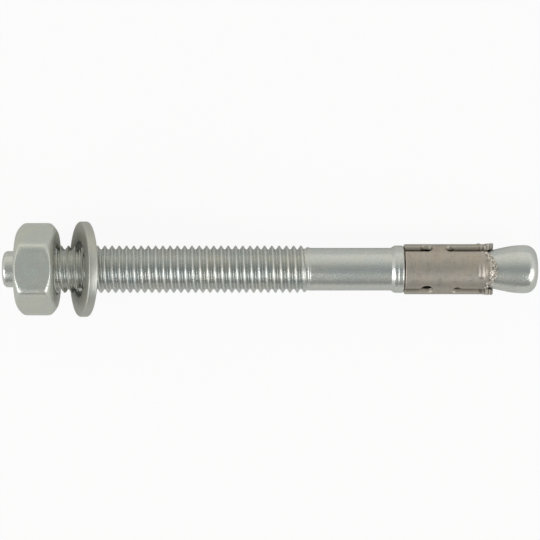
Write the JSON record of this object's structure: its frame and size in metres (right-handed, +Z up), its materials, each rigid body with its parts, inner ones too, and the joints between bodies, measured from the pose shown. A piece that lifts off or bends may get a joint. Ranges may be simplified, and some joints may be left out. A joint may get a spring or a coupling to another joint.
{
  "type": "wedge anchor",
  "caption": "Expansion anchor bolt with a threaded end, hexagon nut and loose flat washer, and a slotted sheet clip round the neck above its wedge.",
  "frame": {"origin": "on the surface that the anchor lies on, below the middle of its bounding box", "axes": "+X along the anchor from the hammered tip to the wedge, +Z up; the bolt's axis drops 2.8 degrees towards the wedge, as it lies on its washer's rim"},
  "size_m": [0.1102, 0.0197, 0.0188],
  "materials": {
    "zinc_bolt": "satin",
    "zinc_nut": "satin",
    "zinc_washer": "satin",
    "clip_steel": "satin"
  },
  "bodies": {
    "bolt": {"anchor_bolt": "zinc_bolt"},
    "clip": {"expansion_clip": "clip_steel"},
    "washer": {"flat_washer": "zinc_washer"},
    "nut": {"hex_nut": "zinc_nut"}
  },
  "joints": [
    {"name": "washer_slide", "type": "slide", "parent": "bolt", "child": "washer", "axis": [0.9988, 0, -0.0487], "range_m": [-0.0061, 0.0496]},
    {"name": "nut_turn", "type": "hinge", "parent": "washer", "child": "nut", "pos_m": [-0.04794, 0, 0.00988], "axis": [0.9988, 0, -0.0487], "range_deg": [-1440, 11880]},
    {"name": "clip_turn", "type": "hinge", "parent": "bolt", "child": "clip", "pos_m": [0.03671, 0, 0.00575], "axis": [0.9988, 0, -0.0487], "continuous": true}
  ],
  "couplings": [
    {"joint": "washer_slide", "follows": "nut_turn", "m_per_rad": 0.00023873}
  ]
}
